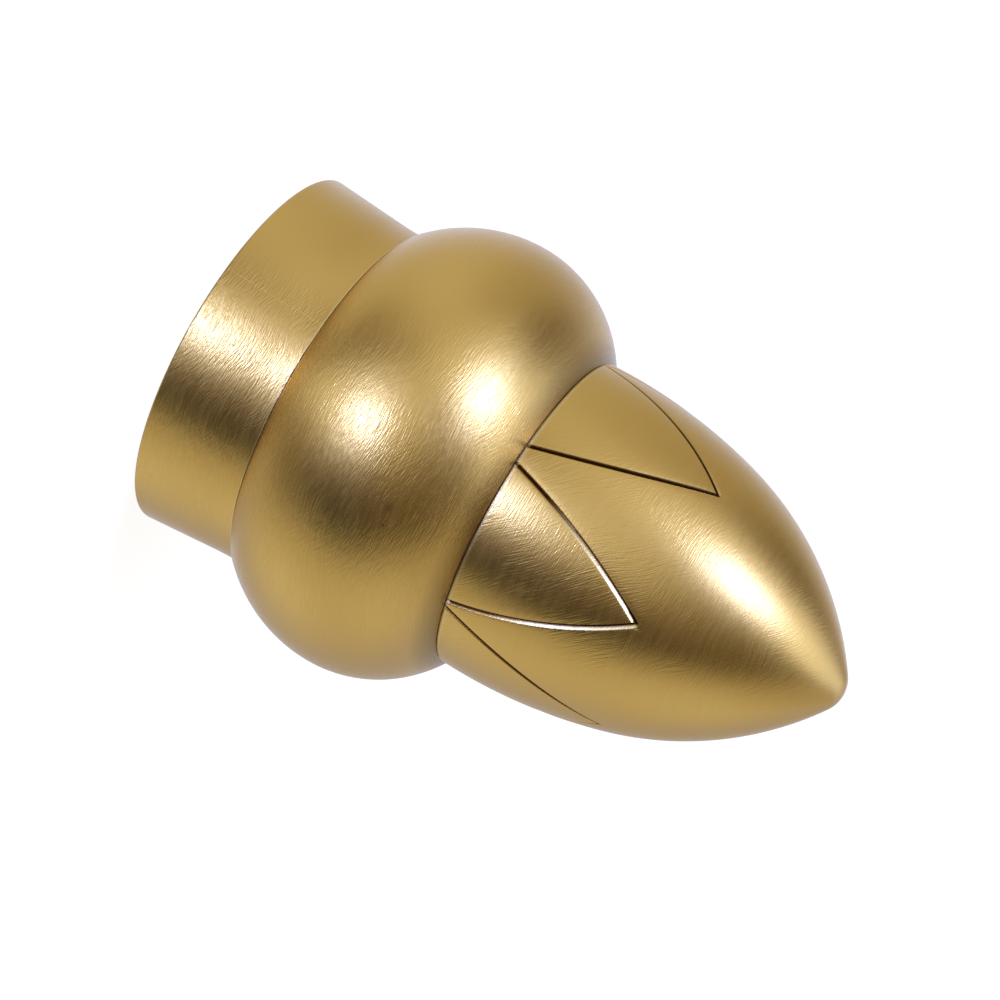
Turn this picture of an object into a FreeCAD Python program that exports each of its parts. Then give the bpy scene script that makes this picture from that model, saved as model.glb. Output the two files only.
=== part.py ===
import FreeCAD, Part
import math
import os

# Curtain pole finial in cast and turned brass, in one piece. It stands on the
# rim of its collar with the pointed bud up: +Z is the axis of the finial and
# the pole, and the origin is the centre of the collar's open rim.
# All lengths are in millimetres and all angles in degrees.

# Socket for the pole
pole_diameter = 50.0
pole_clearance = 0.25
socket_depth = 20.0
socket_entry_bevel = 0.6
pole_stop_ledge = 4.0

# Collar, a sleeve that flares a little towards its open rim
mouth_wall = 2.75
neck_wall = 1.7
collar_length = 16.0
rim_bevel = 0.4
collar_quirk = 0.15

# Bulb, the round swelling next to the collar
bulb_swell = 7.15
bulb_lower_radius = 22.15
bulb_upper_radius = 19.4
bulb_edge_width = 1.45
bulb_edge_rise = 0.65

# Bud, which rises from the bulb to a blunt point
bud_setback = 9.75
bud_quirk = 0.35
bud_base_lean = -2.1
bud_flank_radius = 78.7
bud_flank_lean = 16.0
bud_shoulder_radius = 48.0
bud_nose_radius = 4.9

# Cast hollow behind the socket
hollow_wall = 4.5
hollow_end_radius = 3.5
hollow_end_wall = 6.0

# Leaves, outlined on the bud by engraved V grooves
leaf_count = 6
leaf_length = 25.0
leaf_gap = 2.3
leaf_bow = 1.2
leaf_front_turn = -90.0
groove_width = 0.65
groove_depth = 0.36
groove_overrun = 0.8
groove_end_size = 0.2
groove_section_count = 8

# The leaves were laid out by eye. Each row belongs to a leaf, from the front one
# round, and says how far its right corner, tip and left corner stray sideways.
leaf_strays = [
    (0.4, 0.4, -0.3),
    (-1.3, 0.3, 0.4),
    (0.3, -0.2, 0.5),
    (-0.4, 0.1, -0.3),
    (0.2, 0.3, 0.4),
    (-0.9, 0.0, -0.4),
]

# Radii and heights that follow from the sizes above
socket_radius = pole_diameter / 2 + pole_clearance
mouth_radius = socket_radius + mouth_wall
neck_radius = socket_radius + neck_wall
girth_radius = neck_radius + bulb_swell
bud_radius = girth_radius - bud_setback


def point(radius, height):
    """A point of the outline, in the half plane through the axis."""
    return FreeCAD.Vector(radius, 0, height)


def line(start, end):
    return Part.LineSegment(start, end).toShape()


class Arc:
    """An arc of the outline. The lean is the angle between the outline and
    the axis: 0 runs straight up, 90 runs flat towards the axis."""

    def __init__(self, centre, radius, lean_from, lean_to):
        self.centre = centre
        self.radius = radius
        self.lean_from = lean_from
        self.lean_to = lean_to

    def at(self, lean, inset=0.0):
        turn = math.radians(lean)
        reach = self.radius - inset
        return self.centre + point(reach * math.cos(turn), reach * math.sin(turn))

    def start(self):
        return self.at(self.lean_from)

    def end(self):
        return self.at(self.lean_to)

    def length(self):
        return self.radius * math.radians(self.lean_to - self.lean_from)

    def edge(self):
        middle = self.at((self.lean_from + self.lean_to) / 2)
        return Part.Arc(self.start(), middle, self.end()).toShape()


def bulb_outline():
    """The bulb's two arcs: a fuller one from the collar out to the girth and a
    rounder one from there in to the bud."""
    start_radius = neck_radius - collar_quirk + bulb_edge_width
    start_height = collar_length + collar_quirk + bulb_edge_rise
    lower_centre_radius = girth_radius - bulb_lower_radius
    lean_in = math.acos((start_radius - lower_centre_radius) / bulb_lower_radius)
    girth_height = start_height + bulb_lower_radius * math.sin(lean_in)
    lower = Arc(point(lower_centre_radius, girth_height), bulb_lower_radius, -math.degrees(lean_in), 0)
    upper_centre_radius = girth_radius - bulb_upper_radius
    lean_out = math.acos((bud_radius - bud_quirk - upper_centre_radius) / bulb_upper_radius)
    upper = Arc(point(upper_centre_radius, girth_height), bulb_upper_radius, 0, math.degrees(lean_out))
    return lower, upper


def bud_outline(base_height):
    """The bud's arcs from its base to the axis: a long flank, a rounder
    shoulder and a blunt nose, each running smoothly into the next."""
    base_turn = math.radians(bud_base_lean)
    flank_centre = point(bud_radius - bud_flank_radius * math.cos(base_turn),
                         base_height - bud_flank_radius * math.sin(base_turn))
    flank = Arc(flank_centre, bud_flank_radius, bud_base_lean, bud_flank_lean)
    shoulder_turn = math.radians(bud_flank_lean)
    change = bud_flank_radius - bud_shoulder_radius
    shoulder_centre = flank_centre + point(change * math.cos(shoulder_turn), change * math.sin(shoulder_turn))
    between = bud_shoulder_radius - bud_nose_radius
    nose_turn = math.acos(-shoulder_centre.x / between)
    nose_lean = math.degrees(nose_turn)
    shoulder = Arc(shoulder_centre, bud_shoulder_radius, bud_flank_lean, nose_lean)
    nose = Arc(point(0, shoulder_centre.z + between * math.sin(nose_turn)), bud_nose_radius, nose_lean, 90)
    return flank, shoulder, nose


def revolve(edges):
    face = Part.Face(Part.Wire(Part.__sortEdges__(edges)))
    return face.revolve(FreeCAD.Vector(0, 0, 0), FreeCAD.Vector(0, 0, 1), 360)


def outline_lines(points):
    return [line(start, end) for start, end in zip(points, points[1:])]


def outer_body(bulb, bud):
    """The solid outside: collar, bulb and bud turned about the axis."""
    lower, upper = bulb
    flank, shoulder, nose = bud
    edges = outline_lines([
        point(0, 0),
        point(mouth_radius - rim_bevel, 0),
        point(mouth_radius, rim_bevel),
        point(neck_radius, collar_length),
        point(neck_radius - collar_quirk, collar_length + collar_quirk),
        lower.start(),
    ])
    edges += [lower.edge(), upper.edge()]
    edges.append(line(upper.end(), flank.start()))
    edges += [flank.edge(), shoulder.edge(), nose.edge()]
    edges.append(line(nose.end(), point(0, 0)))
    return revolve(edges)


def socket_and_hollow(bud):
    """The bore for the pole, up to a ledge that stops it, and the cast hollow
    behind, which tapers with the bud to a flat end."""
    flank, _, nose = bud
    end_height = nose.end().z - hollow_end_wall
    return revolve(outline_lines([
        point(0, 0),
        point(socket_radius + socket_entry_bevel, 0),
        point(socket_radius, socket_entry_bevel),
        point(socket_radius, socket_depth),
        point(socket_radius - pole_stop_ledge, socket_depth),
        flank.at(flank.lean_from, hollow_wall),
        flank.at(flank.lean_to, hollow_wall),
        point(hollow_end_radius, end_height),
        point(0, end_height),
        point(0, 0),
    ]))


def on_bud(bud, distance):
    """Radius, height and lean of the bud at a distance along its outline."""
    flank, shoulder = bud[:2]
    if distance <= flank.length():
        arc = flank
        along = distance
    else:
        arc = shoulder
        along = distance - flank.length()
    lean = arc.lean_from + math.degrees(along / arc.radius)
    spot = arc.at(lean)
    return spot.x, spot.z, lean


def leaf_half_width(distance):
    """Half the leaf's width, measured on the surface, at a distance from its
    base: an arc bowed outwards from the base corner to the tip."""
    base_half_width = math.pi * bud_radius / leaf_count - leaf_gap / 2
    chord = math.hypot(leaf_length, base_half_width)
    bow_radius = (chord ** 2 / 4 + leaf_bow ** 2) / (2 * leaf_bow)
    drop = (bow_radius - leaf_bow) / chord
    centre_along = leaf_length / 2 - drop * base_half_width
    centre_across = base_half_width / 2 - drop * leaf_length
    return centre_across + math.sqrt(bow_radius ** 2 - (distance - centre_along) ** 2)


def leaf_edge_point(bud, leaf, side, distance):
    """A point on a leaf's edge and the surface's outward direction there."""
    radius, height, lean = on_bud(bud, distance)
    right_stray, tip_stray, left_stray = leaf_strays[leaf % len(leaf_strays)]
    corner_stray = left_stray if side > 0 else right_stray
    part_way = distance / leaf_length
    across = side * leaf_half_width(distance) + corner_stray * (1 - part_way) + tip_stray * part_way
    turn = math.radians(leaf_front_turn + leaf * 360 / leaf_count) + across / radius
    spot = FreeCAD.Vector(radius * math.cos(turn), radius * math.sin(turn), height)
    tilt = math.radians(lean)
    outward = FreeCAD.Vector(math.cos(tilt) * math.cos(turn), math.cos(tilt) * math.sin(turn), math.sin(tilt))
    return spot, outward


def groove_section(bud, leaf, side, distance, size):
    """The graver's V across the groove. Its point is in the metal, and its top
    as far above the metal, where the V is twice as wide as the groove."""
    spot, outward = leaf_edge_point(bud, leaf, side, distance)
    ahead = leaf_edge_point(bud, leaf, side, distance + groove_width)[0]
    behind = leaf_edge_point(bud, leaf, side, distance - groove_width)[0]
    across = (ahead - behind).cross(outward).normalize() * (groove_width * size)
    rise = outward * (groove_depth * size)
    corners = [spot - rise, spot + rise + across, spot + rise - across]
    return Part.makePolygon(corners + corners[:1])


def leaf_groove(bud, leaf, side):
    """One engraved edge of a leaf, from the bud's base to just past the tip,
    where the graver lifts out of the metal."""
    cut_length = leaf_length + bud_quirk
    sections = []
    for number in range(groove_section_count):
        distance = cut_length * number / (groove_section_count - 1) - bud_quirk
        sections.append(groove_section(bud, leaf, side, distance, 1.0))
    sections.append(groove_section(bud, leaf, side, leaf_length + groove_overrun, groove_end_size))
    return Part.makeLoft(sections, True, False)


def finial():
    bulb = bulb_outline()
    bud = bud_outline(bulb[-1].end().z + bud_quirk)
    body = outer_body(bulb, bud).cut(socket_and_hollow(bud))
    grooves = []
    for leaf in range(leaf_count):
        grooves.append(leaf_groove(bud, leaf, 1))
        grooves.append(leaf_groove(bud, leaf, -1))
    return body.cut(grooves)


os.makedirs("parts", exist_ok=True)
shape = finial()
shape.Solids[0].exportStep("parts/finial.step")
print("solids", len(shape.Solids), "valid", shape.isValid(), "volume", round(shape.Volume, 1))
print("box", shape.BoundBox)
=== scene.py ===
import math
import bmesh
import bpy
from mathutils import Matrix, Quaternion, Vector


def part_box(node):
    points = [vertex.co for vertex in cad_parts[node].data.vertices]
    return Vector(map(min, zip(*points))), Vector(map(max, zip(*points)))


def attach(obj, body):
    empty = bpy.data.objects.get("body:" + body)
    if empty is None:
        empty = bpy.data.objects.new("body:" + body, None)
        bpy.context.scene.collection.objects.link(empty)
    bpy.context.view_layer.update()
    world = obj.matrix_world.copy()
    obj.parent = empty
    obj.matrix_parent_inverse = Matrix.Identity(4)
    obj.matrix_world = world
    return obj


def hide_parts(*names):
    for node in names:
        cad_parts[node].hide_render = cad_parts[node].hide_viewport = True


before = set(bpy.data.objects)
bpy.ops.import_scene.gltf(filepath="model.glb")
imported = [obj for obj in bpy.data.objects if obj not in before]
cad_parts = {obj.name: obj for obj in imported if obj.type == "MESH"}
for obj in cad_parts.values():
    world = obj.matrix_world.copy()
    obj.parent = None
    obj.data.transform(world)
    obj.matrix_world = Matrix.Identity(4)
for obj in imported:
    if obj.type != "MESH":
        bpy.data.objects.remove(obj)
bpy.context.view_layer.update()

scene = bpy.context.scene
scene.view_settings.view_transform = "Standard"

# Camera: a long lens half a metre away and a little above the finial. It is
# rolled by a third of a turn, so the finial, which stands on its rim, lies
# across the picture with its tip down to the right.
aim = Vector((0.000345, -0.000088, 0.044173))
camera_place = Vector((-0.12546, -0.49072, 0.15831))
camera_roll = math.radians(120.0)

camera_data = bpy.data.cameras.new("camera")
camera_data.lens = 130.84
camera_data.sensor_width = 36.0
camera_data.clip_start = 0.01
camera_data.clip_end = 50.0
camera = bpy.data.objects.new("camera", camera_data)
camera.rotation_mode = "QUATERNION"
upright = (aim - camera_place).to_track_quat("-Z", "Y")
camera.rotation_quaternion = upright @ Quaternion((0.0, 0.0, 1.0), camera_roll)
camera.location = camera_place
scene.collection.objects.link(camera)
scene.camera = camera

# Casting: the whole finial is one brass casting, turned on a lathe. The collar
# goes over the pole, the bulb swells out behind it, and the bud rises from the
# bulb to a blunt point. All lengths are in metres.
mm = 0.001
turn_steps = 480
casting_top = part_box("finial")[1][2]
girth_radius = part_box("finial")[1][0]
socket_radius = 25.25 * mm
socket_depth = 20.0 * mm
socket_ledge = 4.0 * mm
entry_bevel = 0.6 * mm
mouth_radius = 28.0 * mm
rim_round = 0.4 * mm
neck_radius = 26.95 * mm
neck_quirk = 0.15 * mm
collar_length = 16.0 * mm
bulb_edge_round = 2.0 * mm
bulb_lower_radius = 22.15 * mm
bulb_upper_radius = 19.4 * mm
bud_radius = girth_radius - 9.75 * mm
bud_quirk = 0.35 * mm
bud_arris = 0.5 * mm
bud_flank_radius = 78.7 * mm
bud_shoulder_radius = 48.0 * mm
bud_nose_radius = 4.9 * mm
bud_base_lean = math.radians(-2.1)
bud_flank_lean = math.radians(16.0)
hollow_wall = 4.5 * mm
hollow_end_radius = 3.5 * mm
hollow_end_wall = 6.0 * mm


def arc_points(centre, radius, lean_from, lean_to, steps):
    """Points of an outline arc. A lean of 0 runs straight up, 90 degrees flat in."""
    leans = [lean_from + (lean_to - lean_from) * number / steps for number in range(steps + 1)]
    return [(centre[0] + radius * math.cos(lean), centre[1] + radius * math.sin(lean)) for lean in leans]


underside = collar_length + neck_quirk
quirk_radius = neck_radius - neck_quirk
lower_centre_radius = girth_radius - bulb_lower_radius
between = bulb_lower_radius - bulb_edge_round
lean_in = math.acos((quirk_radius - lower_centre_radius) / between)
girth_height = underside + bulb_edge_round + between * math.sin(lean_in)
upper_centre_radius = girth_radius - bulb_upper_radius
lower_centre = (lower_centre_radius, girth_height)
upper_centre = (upper_centre_radius, girth_height)
lean_out = math.acos((bud_radius - bud_quirk - upper_centre_radius) / bulb_upper_radius)
base_height = girth_height + bulb_upper_radius * math.sin(lean_out) + bud_quirk

flank_centre = (bud_radius - bud_flank_radius * math.cos(bud_base_lean),
                base_height - bud_flank_radius * math.sin(bud_base_lean))
change = bud_flank_radius - bud_shoulder_radius
shoulder_centre = (flank_centre[0] + change * math.cos(bud_flank_lean),
                   flank_centre[1] + change * math.sin(bud_flank_lean))
nose_reach = bud_shoulder_radius - bud_nose_radius
nose_lean = math.acos(-shoulder_centre[0] / nose_reach)
nose_centre = (0.0, shoulder_centre[1] + nose_reach * math.sin(nose_lean))
flank_length = bud_flank_radius * (bud_flank_lean - bud_base_lean)

# the collar flares to its rim, and has a slight hollow bend near the bulb
collar_bend_height = 11.0 * mm
collar_bend_radius = 27.15 * mm
collar_bend_steps = 4
collar_arris = 0.13 * mm
arris_height = collar_length - collar_arris
rim = arc_points((mouth_radius - rim_round, rim_round), rim_round, -math.pi / 2, 0.0, 5)
collar = [(collar_bend_radius, collar_bend_height)]
for number in range(1, collar_bend_steps + 1):
    to_go = 1.0 - number / collar_bend_steps
    collar.append((neck_radius + (collar_bend_radius - neck_radius) * to_go ** 2.1,
                   arris_height - (collar_length - collar_bend_height) * to_go))
collar.insert(-1, (neck_radius, arris_height - 0.14 * mm))
collar_edge = arc_points((neck_radius - collar_arris, arris_height), collar_arris, 0.0, math.pi / 2, 4)

# the bulb ends in a sharp edge, with a crease between it and the bud
edge_centre = (quirk_radius, underside + bulb_edge_round)
edge_round = arc_points(edge_centre, bulb_edge_round, -math.pi / 2, -lean_in, 8)
lower = arc_points(lower_centre, bulb_lower_radius, -lean_in, 0.0, 15)
upper = arc_points(upper_centre, bulb_upper_radius, 0.0, lean_out - 0.012, 24)
upper += arc_points(upper_centre, bulb_upper_radius, lean_out - 0.007, lean_out, 1)
crease = [(upper[-1][0] - 0.12 * mm, upper[-1][1] + 0.06 * mm)]
bud_edge = arc_points((bud_radius - bud_arris, base_height), bud_arris, math.radians(-42), bud_base_lean, 6)
flank = arc_points(flank_centre, bud_flank_radius, bud_base_lean, bud_flank_lean, 80)
shoulder = arc_points(shoulder_centre, bud_shoulder_radius, bud_flank_lean, nose_lean, 28)
nose = arc_points(nose_centre, bud_nose_radius, nose_lean, math.pi / 2, 8)
outline = [(socket_radius + entry_bevel, 0.0)] + rim + collar + collar_edge[1:]
outline += edge_round + lower[1:] + upper[1:] + crease + bud_edge + flank[1:] + shoulder[1:] + nose[1:]

# inside, the cast hollow ends in the ledge that stops the pole, above the socket
hollow_top = casting_top - hollow_end_wall
inner_flank = arc_points(flank_centre, bud_flank_radius - hollow_wall, bud_flank_lean, bud_base_lean, 1)
outline += [(0.0, hollow_top), (hollow_end_radius, hollow_top)] + inner_flank
outline += [(socket_radius - socket_ledge, socket_depth), (socket_radius, socket_depth)]
outline += [(socket_radius, entry_bevel)]

turned = bmesh.new()
corners = [turned.verts.new((radius, 0.0, height)) for radius, height in outline]
edges = [turned.edges.new(pair) for pair in zip(corners, corners[1:] + corners[:1])]
bmesh.ops.spin(turned, geom=corners + edges, cent=(0.0, 0.0, 0.0), axis=(0.0, 0.0, 1.0),
               dvec=(0.0, 0.0, 0.0), angle=2.0 * math.pi, steps=turn_steps, use_merge=True)
bmesh.ops.remove_doubles(turned, verts=turned.verts, dist=0.002 * mm)
bmesh.ops.recalc_face_normals(turned, faces=turned.faces)

# Leaves: six pointed leaves round the bud's base, outlined by hand with a
# graver. The metal rolls off a little towards each cut, and the rows below say
# how far each leaf's right corner, tip and left corner stray, in millimetres.
leaf_count = 6
leaf_length = 25.0 * mm
leaf_gap = 2.3 * mm
leaf_bow = 1.2 * mm
leaf_strays = [(0.4, 0.4, -0.3), (-1.3, 0.3, 0.4), (0.3, -0.2, 0.5),
               (-0.4, 0.1, -0.3), (0.2, 0.3, 0.4), (-0.9, 0.0, -0.4)]
roll_off_depth = 0.05 * mm
roll_off_width = 0.6 * mm
groove_spans = 48
groove_overrun = 0.25 * mm
groove_start_size = 0.85
groove_end_size = 0.25
nearby = 0.1 * mm

# how far the cuts reach past one side of each leaf's edges, in millimetres
graver_widths = [0.6, 0.42, 0.5, 0.4, 0.46, 0.48]

half_base = math.pi * bud_radius / leaf_count - leaf_gap / 2
chord = math.hypot(leaf_length, half_base)
bow_radius = (chord ** 2 / 4 + leaf_bow ** 2) / (2 * leaf_bow)
bow_drop = (bow_radius - leaf_bow) / chord
bow_along = leaf_length / 2 - bow_drop * half_base
bow_across = half_base / 2 - bow_drop * leaf_length


def on_bud(distance):
    """Radius, height and lean of the bud at a distance along its outline."""
    if distance <= flank_length:
        lean = bud_base_lean + distance / bud_flank_radius
        centre, radius = flank_centre, bud_flank_radius
    else:
        lean = bud_flank_lean + (distance - flank_length) / bud_shoulder_radius
        centre, radius = shoulder_centre, bud_shoulder_radius
    return centre[0] + radius * math.cos(lean), centre[1] + radius * math.sin(lean), lean


def leaf_edge_across(leaf, side, distance):
    """How far round the bud a leaf's edge lies from the leaf's middle."""
    right_stray, tip_stray, left_stray = leaf_strays[leaf]
    corner_stray = left_stray if side > 0 else right_stray
    part_way = distance / leaf_length
    half_width = bow_across + math.sqrt(bow_radius ** 2 - (distance - bow_along) ** 2)
    return side * half_width + (corner_stray * (1 - part_way) + tip_stray * part_way) * mm


def leaf_edge(leaf, side, distance):
    """A point of a leaf's edge, and the way straight out of the metal there."""
    radius, height, lean = on_bud(distance)
    turn = math.tau * leaf / leaf_count - math.pi / 2 + leaf_edge_across(leaf, side, distance) / radius
    place = Vector((radius * math.cos(turn), radius * math.sin(turn), height))
    outward = Vector((math.cos(lean) * math.cos(turn), math.cos(lean) * math.sin(turn), math.sin(lean)))
    return place, outward


def nearest_cut(turn, distance, radius):
    """How far beside the nearest leaf edge a point of the bud lies, and which edge it is."""
    nearest = (1.0, 0, 1)
    for leaf in range(leaf_count):
        round_bud = (turn - math.tau * leaf / leaf_count + 1.5 * math.pi) % math.tau - math.pi
        for side in (1, -1):
            across = leaf_edge_across(leaf, side, distance)
            slope = (leaf_edge_across(leaf, side, distance + nearby) - across) / nearby
            beside = (round_bud * radius - across) / math.hypot(1.0, slope)
            if abs(beside) < abs(nearest[0]):
                nearest = (beside, leaf, side)
    return nearest


def roll_off(vertex):
    """Lowers a point of the flank that is close to a leaf's edge."""
    radius = math.hypot(vertex.co.x, vertex.co.y)
    out, up = radius - flank_centre[0], vertex.co.z - flank_centre[1]
    lean = math.atan2(up, out)
    distance = bud_flank_radius * (lean - bud_base_lean)
    if abs(math.hypot(up, out) - bud_flank_radius) > 0.01 * mm or distance > leaf_length:
        return
    beside = nearest_cut(math.atan2(vertex.co.y, vertex.co.x), distance, radius)[0]
    dip = roll_off_depth * math.exp(-(beside / roll_off_width) ** 2)
    outward = Vector((math.cos(lean) * vertex.co.x / radius, math.cos(lean) * vertex.co.y / radius,
                      math.sin(lean)))
    vertex.co -= outward * dip


for vertex in turned.verts:
    if vertex.co.z > base_height:
        roll_off(vertex)


def groove_cutter(name, side):
    """The graver's cuts along one side of every leaf, as solids to take away."""
    cuts = bmesh.new()
    cut_length = leaf_length + bud_quirk
    stops = [cut_length * number / groove_spans - bud_quirk for number in range(groove_spans + 1)]
    stops.append(leaf_length + groove_overrun)
    for leaf, wide in enumerate(graver_widths):
        # the graver's shape: sideways and up from the leaf's edge, in millimetres
        section = [(0.04, -0.36), (wide - 0.16, -0.08), (wide - 0.08, -0.03), (wide, 0.0), (wide + 0.1, 0.2),
                   (-0.5, 0.2), (-0.4, 0.0), (-0.33, -0.03), (-0.28, -0.08), (-0.05, -0.36)]
        last = None
        for distance in stops:
            # the cut stays off the bulb at its start and runs out past the leaf's tip
            size = 1.0
            if distance < 0.0:
                size = groove_start_size
            elif distance == stops[-1]:
                size = groove_end_size
            place, outward = leaf_edge(leaf, side, distance)
            ahead = leaf_edge(leaf, side, distance + nearby)[0]
            behind = leaf_edge(leaf, side, distance - nearby)[0]
            across = (ahead - behind).cross(outward).normalized()
            corners = [cuts.verts.new(place + across * (size * sideways * mm)
                                      + outward * (size * up * mm)) for sideways, up in section]
            ring = [cuts.edges.new(pair) for pair in zip(corners, corners[1:] + corners[:1])]
            if last:
                bmesh.ops.bridge_loops(cuts, edges=last + ring)
            else:
                cuts.faces.new(corners)
            last = ring
        cuts.faces.new(corners)
    bmesh.ops.recalc_face_normals(cuts, faces=cuts.faces)
    mesh = bpy.data.meshes.new(name)
    cuts.to_mesh(mesh)
    cuts.free()
    cutter = bpy.data.objects.new(name, mesh)
    scene.collection.objects.link(cutter)
    return cutter


turned_mesh = bpy.data.meshes.new("turned")
turned.to_mesh(turned_mesh)
turned.free()
casting = bpy.data.objects.new("brass_casting", turned_mesh)
scene.collection.objects.link(casting)
cutters = [groove_cutter("left_cuts", 1), groove_cutter("right_cuts", -1)]
for cutter in cutters:
    cut = casting.modifiers.new(cutter.name, "BOOLEAN")
    cut.operation = "DIFFERENCE"
    cut.solver = "EXACT"
    cut.object = cutter
bpy.context.view_layer.update()
casting_mesh = bpy.data.meshes.new_from_object(casting.evaluated_get(bpy.context.evaluated_depsgraph_get()))
casting.modifiers.clear()
casting.data = casting_mesh
for cutter in cutters:
    bpy.data.objects.remove(cutter)
for face in casting_mesh.polygons:
    face.use_smooth = True
casting_mesh.set_sharp_from_angle(angle=math.radians(21.0))

# For each point of the casting: how far it lies along the outline from the rim,
# how deep it is in a cut, how much painted shade it gets and how much it is rubbed and given a pale painted
# highlight
lower_start = collar_length + 1.5 * mm
upper_start = lower_start + bulb_lower_radius * lean_in
flank_start = upper_start + bulb_upper_radius * lean_out
shoulder_start = flank_start + flank_length
full_depth = 0.24 * mm
collar_shade_width = 1.6 * mm
bud_shade_width = 3.0 * mm
bright_start = 6 * mm
bright_ramp = 7 * mm
fringe_start = 13 * mm


def bud_wear(turn, across, height):
    """How far along the outline a point of the bud lies, how deep it is, and how much it is rubbed and given
    a pale painted highlight.
    """
    centre, radius, lean_from, way = flank_centre, bud_flank_radius, bud_base_lean, flank_start
    lean = math.atan2(height - centre[1], across - centre[0])
    if lean >= bud_flank_lean:
        centre, radius, lean_from, way = shoulder_centre, bud_shoulder_radius, bud_flank_lean, shoulder_start
        lean = math.atan2(height - centre[1], across - centre[0])
    way += radius * (lean - lean_from)
    depth = radius - math.hypot(height - centre[1], across - centre[0])
    depth = depth if depth < 1.0 * mm and lean < nose_lean else 0.0
    distance = way - flank_start
    beside, leaf, side = 1.0, 0, 1
    if 0.0 < depth and distance < leaf_length:
        beside, leaf, side = nearest_cut(turn, distance, across)
    worn_and_highlit = 0.0
    if -0.41 * mm < beside < (graver_widths[leaf] + 0.02) * mm:
        depth = max(depth, 1.7 * depth - 0.04 * mm)
        if leaf == 0 and beside > 0.05 * mm:
            # one wall of the front leaf's cuts gets a pale painted highlight in place of its dark
            worn_and_highlit = 0.8 * min(1.0, max(0.0, (distance - bright_start) / bright_ramp))
            depth = depth * (1.0 - worn_and_highlit)
        elif leaf == 5 and side == 1 and beside < -0.3 * mm and distance > fringe_start:
            # and the cut beside it has a pale painted highlight along one fringe
            worn_and_highlit = 0.8
    elif distance < leaf_length:
        depth = 0.0
    # the bud's lowest edge is rubbed and painted pale as a highlight
    if height < base_height + 0.04 * mm and depth < 0.06 * mm:
        worn_and_highlit = 0.7
    return way, depth, worn_and_highlit


for name in ("outline_way", "recess", "painted_shade", "worn_and_highlit"):
    casting_mesh.attributes.new(name, "FLOAT", "POINT")
for number, vertex in enumerate(casting_mesh.vertices):
    across, height = math.hypot(vertex.co.x, vertex.co.y), vertex.co.z
    way, depth, painted_shade, worn_and_highlit = height, 0.0, 0.0, 0.0
    if height > base_height - 0.02 * mm and across > 0.5 * (nose_centre[1] - height):
        # the bud, but not the hollow in it
        way, depth, worn_and_highlit = bud_wear(math.atan2(vertex.co.y, vertex.co.x), across, height)
    elif height > girth_height and across > 20 * mm:
        # the bulb from its girth to the crease beside the bud
        lean = math.atan2(height - girth_height, across - upper_centre_radius)
        way = upper_start + bulb_upper_radius * lean
        # painted shade: the bulb is darkened towards the crease beside the bud
        painted_shade = max(0.0, 1.0 - (base_height - height) / bud_shade_width)
        # at the crease the bulb's inner lip is dark, and its outer lip is painted pale as a highlight
        if height > base_height - bud_quirk - 0.01 * mm:
            depth, worn_and_highlit = (full_depth, 0.0) if across < bud_radius - 0.25 * mm else (0.0, 1.0)
    elif height > collar_length and across > 24.5 * mm:
        # the bulb from the collar to its girth
        lean = math.atan2(height - girth_height, across - lower_centre_radius)
        way = upper_start + bulb_lower_radius * lean
        # painted shade: the bulb is darkened towards the collar
        painted_shade = max(0.0, 1.0 - (across - quirk_radius) / collar_shade_width)
        depth = 0.2 * mm if across < quirk_radius + 0.12 * mm else 0.0
    elif height > arris_height - 0.05 * mm and across > 26 * mm:
        # the collar's edge, rubbed and painted pale as a highlight
        worn_and_highlit = 1.0
    elif height < 0.2 * mm and across > 27 * mm:
        # the rim
        depth = 0.12 * mm
    recess = min(1.0, max(0.0, depth / full_depth))
    for name, value in (("outline_way", way), ("recess", recess), ("painted_shade", painted_shade), ("worn_and_highlit", worn_and_highlit)):
        casting_mesh.attributes[name].data[number].value = value

# Brushed brass: satin, with fine strokes that run round the finial and cross at
# a slight angle, and a dark bloom down in the grooves.
brass_colour = (0.82, 0.55, 0.195, 1.0)
groove_colour = (0.06, 0.02, 0.005, 1.0)
# the colour of the painted shade beside the joints
painted_shade_colour = (0.27, 0.19, 0.08, 1.0)
# the pale colour of rubbed edges and painted highlights
worn_highlight_colour = (0.97, 0.78, 0.45, 1.0)
worn_highlight_roughness = 0.4
stroke_depth = 0.072 * mm

brass = bpy.data.materials.new("brushed_brass")
brass.use_nodes = True
nodes = brass.node_tree.nodes
links = brass.node_tree.links
shader = nodes["Principled BSDF"]
shader.inputs["Metallic"].default_value = 1.0
shader.inputs["Anisotropic"].default_value = 0.12
shader.inputs["Anisotropic Rotation"].default_value = 0.25


def set_input(socket, value):
    """Links a socket to what another node puts out, or gives it a constant."""
    if isinstance(value, bpy.types.NodeSocket):
        links.new(value, socket)
    else:
        socket.default_value = value


def add_math(operation, *values):
    node = nodes.new("ShaderNodeMath")
    node.operation = operation
    for socket, value in zip(node.inputs, values):
        set_input(socket, value)
    return node.outputs["Value"]


def add_ramp(value, start, end, first=0.0, last=1.0, easing="LINEAR"):
    """Goes from the first result to the last while the value goes from start to end."""
    node = nodes.new("ShaderNodeMapRange")
    node.interpolation_type = easing
    for name, number in (("From Min", start), ("From Max", end), ("To Min", first), ("To Max", last)):
        node.inputs[name].default_value = number
    links.new(value, node.inputs["Value"])
    return node.outputs["Result"]


def add_mix(kind, share, first, second):
    node = nodes.new("ShaderNodeMix")
    node.data_type = kind
    for name, value in (("Factor", share), ("A", first), ("B", second)):
        set_input(node.inputs[name], value)
    return node.outputs["Result"]


place = nodes.new("ShaderNodeTexCoord").outputs["Object"]
apart = nodes.new("ShaderNodeSeparateXYZ")
links.new(place, apart.inputs["Vector"])
height = apart.outputs["Z"]


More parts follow.
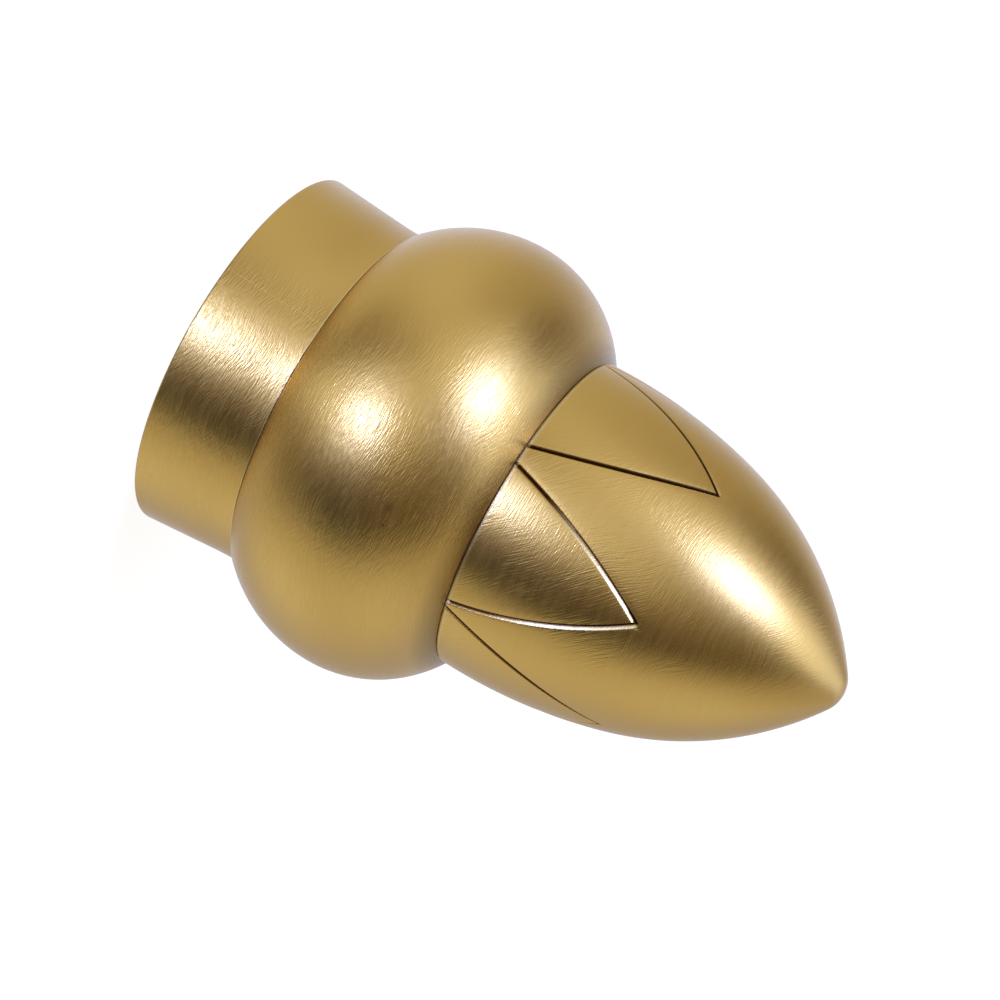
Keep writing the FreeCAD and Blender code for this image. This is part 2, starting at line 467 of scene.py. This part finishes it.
def point_value(name):
    node = nodes.new("ShaderNodeAttribute")
    node.attribute_name = name
    return node.outputs["Fac"]


deep = point_value("recess")
way = point_value("outline_way")
unrolled = nodes.new("ShaderNodeCombineXYZ")
links.new(apart.outputs["X"], unrolled.inputs["X"])
links.new(apart.outputs["Y"], unrolled.inputs["Y"])
links.new(way, unrolled.inputs["Z"])

# a slow wander, which bends the strokes and makes them cross
wander_place = nodes.new("ShaderNodeMapping")
wander_place.inputs["Scale"].default_value = (90.0, 90.0, 60.0)
links.new(unrolled.outputs["Vector"], wander_place.inputs["Vector"])
wander = nodes.new("ShaderNodeTexNoise")
wander.inputs["Scale"].default_value = 1.0
wander.inputs["Detail"].default_value = 1.0
links.new(wander_place.outputs["Vector"], wander.inputs["Vector"])
wander_apart = nodes.new("ShaderNodeSeparateColor")
links.new(wander.outputs["Color"], wander_apart.inputs["Color"])


def strokes(bend_source, bend, slant, length, width, detail=0.5):
    """Brush strokes: noise drawn out round the finial and narrow along its outline."""
    swing = add_math("MULTIPLY", add_math("SUBTRACT", bend_source, 0.5), bend)
    slanted = add_math("ADD", add_math("MULTIPLY", apart.outputs["X"], slant), swing)
    lift = nodes.new("ShaderNodeCombineXYZ")
    links.new(slanted, lift.inputs["Z"])
    lifted = nodes.new("ShaderNodeVectorMath")
    lifted.operation = "ADD"
    links.new(unrolled.outputs["Vector"], lifted.inputs[0])
    links.new(lift.outputs["Vector"], lifted.inputs[1])
    drawn = nodes.new("ShaderNodeVectorMath")
    drawn.operation = "MULTIPLY"
    drawn.inputs[1].default_value = (1.0 / length, 1.0 / length, 1.0 / width)
    links.new(lifted.outputs["Vector"], drawn.inputs[0])
    noise = nodes.new("ShaderNodeTexNoise")
    noise.inputs["Scale"].default_value = 1.0
    noise.inputs["Detail"].default_value = detail
    links.new(drawn.outputs["Vector"], noise.inputs["Vector"])
    return noise.outputs["Fac"]


wander_red, wander_green, wander_blue = wander_apart.outputs
fine_strokes = strokes(wander_red, bend=2.0 * mm, slant=0.0, length=2.0 * mm, width=0.17 * mm)
cross_strokes = strokes(wander_green, bend=5.0 * mm, slant=0.25, length=1.3 * mm, width=0.18 * mm)
slanted_strokes = strokes(wander_red, bend=4.0 * mm, slant=1.1, length=1.8 * mm, width=0.26 * mm)
broad_strokes = strokes(wander_blue, bend=3.0 * mm, slant=0.0, length=6.0 * mm, width=0.6 * mm, detail=1.0)

# the strokes run level, except in the slanted patches rubbed by hand on the bud
fine_share = add_math("MULTIPLY", fine_strokes, 0.6)
cross_share = add_math("MULTIPLY", cross_strokes, 0.4)
level_strokes = add_math("ADD", fine_share, cross_share)
hand_rubbed = add_ramp(wander_blue, 0.44, 0.56, easing="SMOOTHSTEP")
bud_mask = add_math("GREATER_THAN", height, base_height)
patches = add_math("MULTIPLY", add_math("MULTIPLY", hand_rubbed, bud_mask), 0.7)
brushed = add_mix("FLOAT", patches, level_strokes, slanted_strokes)

# one side of the finial is rubbed smoother than the front, its collar most of all
firm = add_ramp(apart.outputs["X"], -27 * mm, -12 * mm, first=0.55, easing="SMOOTHSTEP")
collar_mask = add_math("LESS_THAN", height, collar_length)
collar_power = add_math("ADD", 1.0, add_math("MULTIPLY", collar_mask, 1.5))
firmness = add_math("POWER", firm, collar_power)
brushed = add_math("MULTIPLY", add_math("SUBTRACT", brushed, 0.5), firmness)

# the strokes get lighter over the bud, most of all at its tip
lighter = add_ramp(height, 45 * mm, 95 * mm, first=0.75, last=0.5)
brushed = add_math("MULTIPLY", brushed, add_mix("FLOAT", bud_mask, 1.0, lighter))

# the soldered seam along the collar, with the file marks round it
seam_turn = math.radians(-122.4)
seam_radius = 27 * mm
turn = add_math("ARCTAN2", apart.outputs["Y"], apart.outputs["X"])
from_seam = add_math("MULTIPLY", add_math("SUBTRACT", turn, seam_turn), seam_radius)
wavy = add_math("MULTIPLY", add_math("SUBTRACT", broad_strokes, 0.5), 0.5 * mm)
beside_seam = add_math("ABSOLUTE", add_math("ADD", from_seam, wavy))
seam = add_math("MULTIPLY", add_ramp(beside_seam, 0.16 * mm, 0.02 * mm), collar_mask)
filed = add_math("MULTIPLY", add_ramp(beside_seam, 4.5 * mm, 0.5 * mm, easing="SMOOTHSTEP"), collar_mask)
seam_ridge = add_math("MULTIPLY", seam, 0.14)
file_marks = add_math("MULTIPLY", add_math("SUBTRACT", cross_strokes, 0.5), add_math("MULTIPLY", filed, 0.3))
brushed = add_math("ADD", brushed, add_math("ADD", seam_ridge, file_marks))

# the graver chattered here and there, which leaves ripples in the grooves
chatter = nodes.new("ShaderNodeTexNoise")
chatter.inputs["Scale"].default_value = 3000.0
chatter.inputs["Detail"].default_value = 1.0
links.new(place, chatter.inputs["Vector"])
ripples = add_math("MULTIPLY", chatter.outputs["Fac"], add_math("MULTIPLY", deep, 0.2))
brushed = add_math("ADD", brushed, ripples)

bump = nodes.new("ShaderNodeBump")
bump.inputs["Strength"].default_value = 1.0
bump.inputs["Distance"].default_value = stroke_depth
links.new(brushed, bump.inputs["Height"])
links.new(bump.outputs["Normal"], shader.inputs["Normal"])

tangent = nodes.new("ShaderNodeTangent")
tangent.direction_type = "RADIAL"
tangent.axis = "Z"
links.new(tangent.outputs["Tangent"], shader.inputs["Tangent"])

# painted shade darkens the bulb beside the joints, and rubbed edges and some groove walls get pale painted
# highlights and are a little dull
worn_and_highlit = point_value("worn_and_highlit")
colour = add_mix("RGBA", add_ramp(deep, 0.35, 0.75), brass_colour, groove_colour)
colour = add_mix("RGBA", add_math("MULTIPLY", point_value("painted_shade"), 0.85), colour, painted_shade_colour)
colour = add_mix("RGBA", add_math("MULTIPLY", worn_and_highlit, 0.8), colour, worn_highlight_colour)
worn = add_ramp(broad_strokes, 0.3, 0.7, first=0.305, last=0.345)
scratched = add_math("ADD", worn, add_math("MULTIPLY", brushed, 0.1))
links.new(add_mix("FLOAT", worn_and_highlit, scratched, worn_highlight_roughness), shader.inputs["Roughness"])

# two small casting pits in the bulb: where they are, how wide and how dark
pits = [((3.2 * mm, -32.6 * mm, 38.8 * mm), 0.22 * mm, 0.8),
        ((0.5 * mm, -32.9 * mm, 38.5 * mm), 0.9 * mm, 0.35)]
for pit_place, pit_radius, darkness in pits:
    away = nodes.new("ShaderNodeVectorMath")
    away.operation = "DISTANCE"
    away.inputs[1].default_value = pit_place
    links.new(place, away.inputs[0])
    inside = add_ramp(away.outputs["Value"], pit_radius, 0.0)
    colour = add_mix("RGBA", add_math("MULTIPLY", inside, darkness), colour, groove_colour)
links.new(colour, shader.inputs["Base Color"])

casting_mesh.materials.clear()
casting_mesh.materials.append(brass)
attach(casting, "root")
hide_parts("finial")

# Floor: a plain white studio table, wide enough to fill the picture. It takes
# the finial's soft shadow, and it is see-through from below, to show the socket.
floor_sheet = bmesh.new()
bmesh.ops.create_grid(floor_sheet, x_segments=1, y_segments=1, size=12.0)
floor_mesh = bpy.data.meshes.new("floor")
floor_sheet.to_mesh(floor_mesh)
floor_sheet.free()
floor = bpy.data.objects.new("floor", floor_mesh)
floor.visible_glossy = False
floor.visible_shadow = False
scene.collection.objects.link(floor)

floor_paint = bpy.data.materials.new("floor_paint")
floor_paint.use_nodes = True
nodes = floor_paint.node_tree.nodes
links = floor_paint.node_tree.links
nodes.clear()
matt = nodes.new("ShaderNodeBsdfDiffuse")
matt.inputs["Color"].default_value = (0.4, 0.4, 0.4, 1.0)
glow = nodes.new("ShaderNodeEmission")
glow.inputs["Strength"].default_value = 0.86
glowing = nodes.new("ShaderNodeAddShader")
links.new(matt.outputs["BSDF"], glowing.inputs[0])
links.new(glow.outputs["Emission"], glowing.inputs[1])
seen = nodes.new("ShaderNodeMixShader")
path = nodes.new("ShaderNodeLightPath")
links.new(path.outputs["Is Camera Ray"], seen.inputs["Fac"])
links.new(matt.outputs["BSDF"], seen.inputs[1])
links.new(glowing.outputs["Shader"], seen.inputs[2])
from_below = nodes.new("ShaderNodeMixShader")
clear = nodes.new("ShaderNodeBsdfTransparent")
sides = nodes.new("ShaderNodeNewGeometry")
links.new(sides.outputs["Backfacing"], from_below.inputs["Fac"])
links.new(seen.outputs["Shader"], from_below.inputs[1])
links.new(clear.outputs["BSDF"], from_below.inputs[2])
out = nodes.new("ShaderNodeOutputMaterial")
links.new(from_below.outputs["Shader"], out.inputs["Surface"])
floor_mesh.materials.append(floor_paint)

# Studio: a pale room with two softboxes near the camera. The room is darker
# where there is no white card, and the metal shows that as its brown bands.
# Azimuths are counted from the camera's side, as seen from above.
camera_side = math.atan2(camera_place.y, camera_place.x)
world = bpy.data.worlds.new("studio")
scene.world = world
world.use_nodes = True
nodes = world.node_tree.nodes
links = world.node_tree.links
nodes.clear()
direction = nodes.new("ShaderNodeTexCoord")
facing = nodes.new("ShaderNodeMapping")
facing.inputs["Rotation"].default_value = (0.0, 0.0, -camera_side)
links.new(direction.outputs["Generated"], facing.inputs["Vector"])
round_room = nodes.new("ShaderNodeTexGradient")
round_room.gradient_type = "RADIAL"
links.new(facing.outputs["Vector"], round_room.inputs["Vector"])
apart = nodes.new("ShaderNodeSeparateXYZ")
links.new(facing.outputs["Vector"], apart.inputs["Vector"])

# elevation of each band, then its brightness at azimuths from -180 to 180 degrees
room_bands = [
    (-65, [(-180, 0.5), (-120, 0.55), (-85, 0.45), (-60, 0.1), (-35, 0.15), (-5, 1.0),
           (35, 0.15), (65, 0.1), (110, 0.5), (140, 0.4), (180, 0.5)]),
    (-30, [(-180, 1.1), (-158, 0.85), (-140, 0.65), (-120, 0.56), (-80, 0.62), (-55, 0.5),
           (-38, 0.17), (-22, 0.65), (-7, 1.1), (8, 1.1), (18, 0.4), (28, 0.06), (50, 0.0),
           (72, 0.5), (105, 0.72), (145, 0.45), (180, 1.0)]),
    (5, [(-180, 1.1), (-160, 0.8), (-142, 0.5), (-120, 0.38), (-85, 0.38), (-60, 0.6),
         (-42, 0.68), (-27, 0.62), (-12, 0.68), (-2, 0.72), (6, 0.6), (16, 0.2), (26, 0.05),
         (50, 0.0), (73, 0.5), (90, 0.57), (150, 0.43), (168, 0.55), (180, 1.0)]),
    (35, [(-180, 0.5), (-145, 0.35), (-118, 0.08), (-95, 0.1), (-72, 0.75), (-48, 1.2),
          (-25, 0.35), (-5, 0.2), (18, 0.12), (45, 0.02), (62, 0.33), (80, 0.6), (110, 0.64),
          (145, 0.45), (180, 0.5)]),
    (70, [(-180, 0.8), (-140, 0.9), (-100, 1.1), (-65, 1.3), (-40, 0.8), (-15, 0.2),
          (10, 0.08), (45, 0.05), (90, 0.4), (130, 0.38), (180, 0.8)]),
]

# red and blue beside green: the far side of the room is bluer, and dark parts are warmer
far_azimuth = 130
far_tint = (0.88, 1.5)
near_tint = (0.945, 0.98)
room_light = None
for elevation, stops in room_bands:
    band = nodes.new("ShaderNodeValToRGB")
    band.color_ramp.interpolation = "EASE"
    elements = band.color_ramp.elements
    for position, (azimuth, level) in enumerate(stops):
        share = (azimuth + 180) / 360
        element = elements[position] if position < 2 else elements.new(share)
        element.position = share
        red, blue = far_tint if abs(azimuth) > far_azimuth else near_tint
        element.color = (red * level ** 0.85, level, blue * level ** 1.35, 1.0)
    links.new(round_room.outputs["Fac"], band.inputs["Fac"])
    rise = math.sin(math.radians(elevation))
    if room_light is None:
        room_light = band.outputs["Color"]
    else:
        above = add_ramp(apart.outputs["Z"], rise_below, rise, easing="SMOOTHSTEP")
        room_light = add_mix("RGBA", above, room_light, band.outputs["Color"])
    rise_below = rise
path = nodes.new("ShaderNodeLightPath")
backdrop = add_mix("RGBA", path.outputs["Is Camera Ray"], room_light, (1.0, 1.0, 1.0, 1.0))
background = nodes.new("ShaderNodeBackground")
links.new(backdrop, background.inputs["Color"])
out = nodes.new("ShaderNodeOutputWorld")
links.new(background.outputs["Background"], out.inputs["Surface"])


def softbox(name, distance, azimuth, elevation, width, height, brightness, colour):
    """A square lamp aimed at the finial, with its size and place in degrees."""
    across = 2.0 * distance * math.tan(math.radians(width / 2))
    tall = 2.0 * distance * math.tan(math.radians(height / 2))
    lamp = bpy.data.lights.new(name, "AREA")
    lamp.shape = "RECTANGLE"
    lamp.size = across
    lamp.size_y = tall
    lamp.energy = brightness * math.pi * across * tall
    lamp.color = colour
    item = bpy.data.objects.new(name, lamp)
    turn = camera_side + math.radians(azimuth)
    rise = math.radians(elevation)
    towards = Vector((math.cos(rise) * math.cos(turn), math.cos(rise) * math.sin(turn), math.sin(rise)))
    item.location = aim + towards * distance
    item.rotation_mode = "QUATERNION"
    item.rotation_quaternion = (-towards).to_track_quat("-Z", "Y")
    item.visible_camera = False
    scene.collection.objects.link(item)


softbox("right_softbox", distance=2.0, azimuth=-47.5, elevation=43.5, width=20.0, height=25.0,
        brightness=4.7, colour=(0.76, 1.0, 2.3))
softbox("left_softbox", distance=2.0, azimuth=0.0, elevation=-23.5, width=13.0, height=10.0,
        brightness=11.0, colour=(0.74, 1.0, 2.5))
